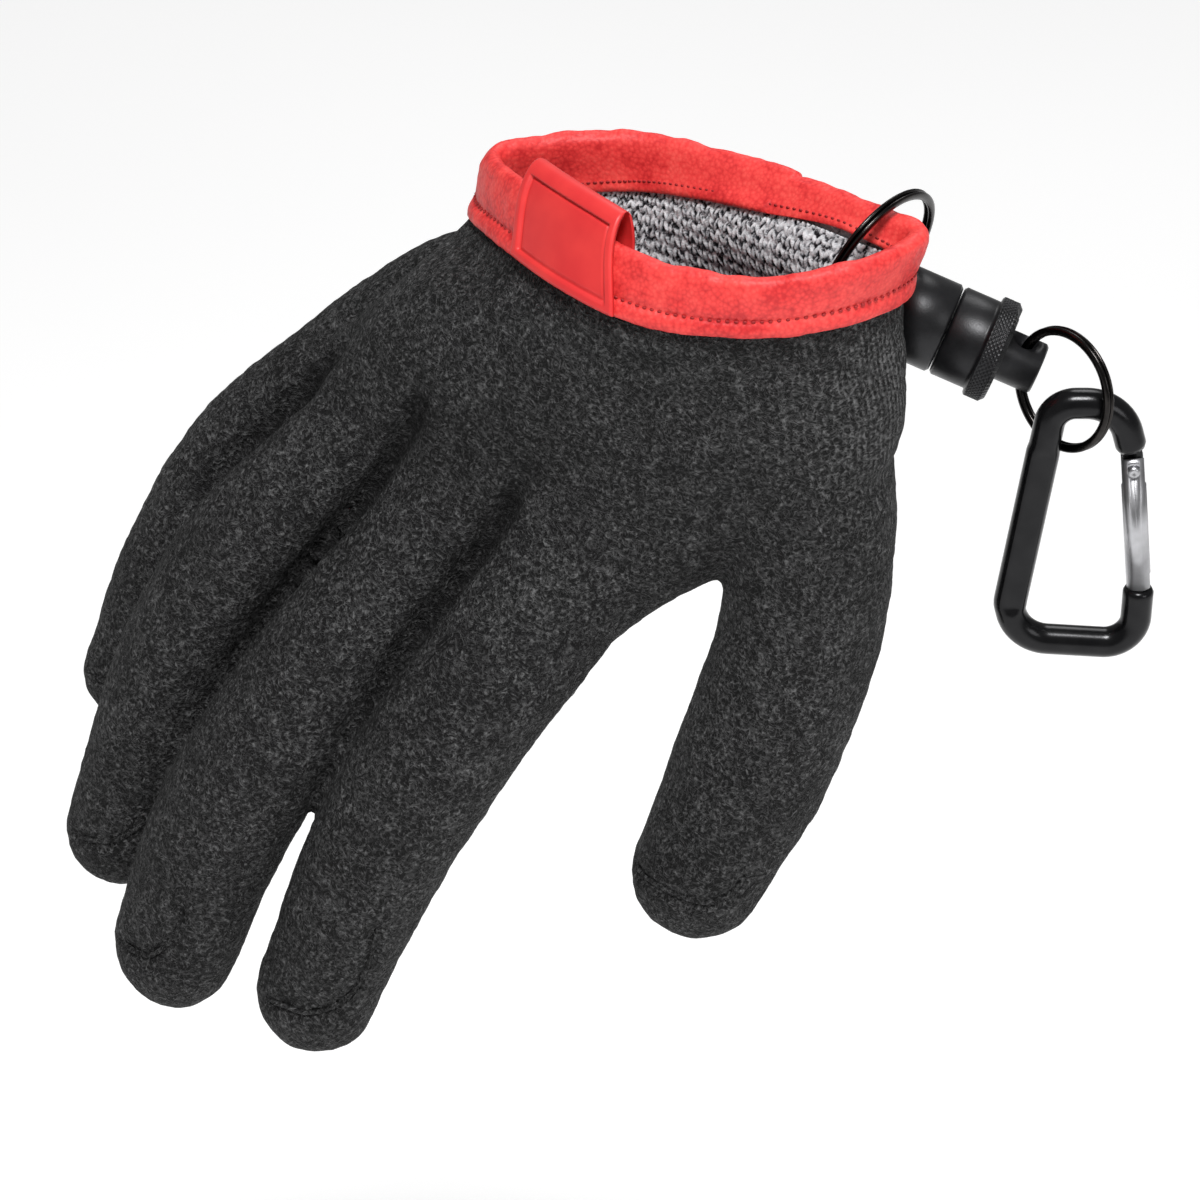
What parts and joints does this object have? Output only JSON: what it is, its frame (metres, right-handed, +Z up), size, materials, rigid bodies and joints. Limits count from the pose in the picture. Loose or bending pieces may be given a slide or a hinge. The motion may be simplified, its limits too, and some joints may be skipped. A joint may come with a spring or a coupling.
{
  "type": "fishing glove with magnetic release",
  "caption": "Coated knit glove for landing fish, with a bound cuff, a rubber tab, an eyelet, a magnetic release, split rings and a small carabiner.",
  "frame": {"origin": "middle of the cuff's opening, level with its rim, where the wrist goes in", "axes": "+Z up out of the cuff towards the forearm, +X towards the thumb and the release, +Y towards the palm side"},
  "size_m": [0.2152, 0.0833, 0.183],
  "materials": {
    "coating": "matt crinkled latex",
    "knit": "marled light grey knit",
    "binding": "pebbled, stitched",
    "tab": "moulded satin",
    "gunmetal": "dark nickel",
    "black_steel": "gloss black",
    "black_anodised": "satin black",
    "gate_metal": "bare satin"
  },
  "bodies": {
    "glove": {"coated_shell": "coating", "knit_liner": "knit", "cuff_binding": "binding", "cuff_tab": "tab", "grommet": "gunmetal", "cuff_ring": "black_steel", "clip_inner": "black_anodised"},
    "release": {"clip_outer": "black_anodised", "clip_ring": "black_steel", "carabiner_frame": "black_anodised", "gate_pin": "gate_metal"},
    "gate": {"carabiner_gate": "gate_metal"}
  },
  "joints": [
    {"name": "release_slide", "type": "slide", "parent": "glove", "child": "release", "axis": [0.9164, -0.2103, -0.3405], "range_m": [0, 0.02]},
    {"name": "gate_hinge", "type": "hinge", "parent": "release", "child": "gate", "pos_m": [0.0824, -0.0137, -0.0489], "axis": [0, 1, 0], "range_deg": [0, 30], "stiffness_Nm_per_rad": 0.02, "springref_deg": -28.65}
  ]
}
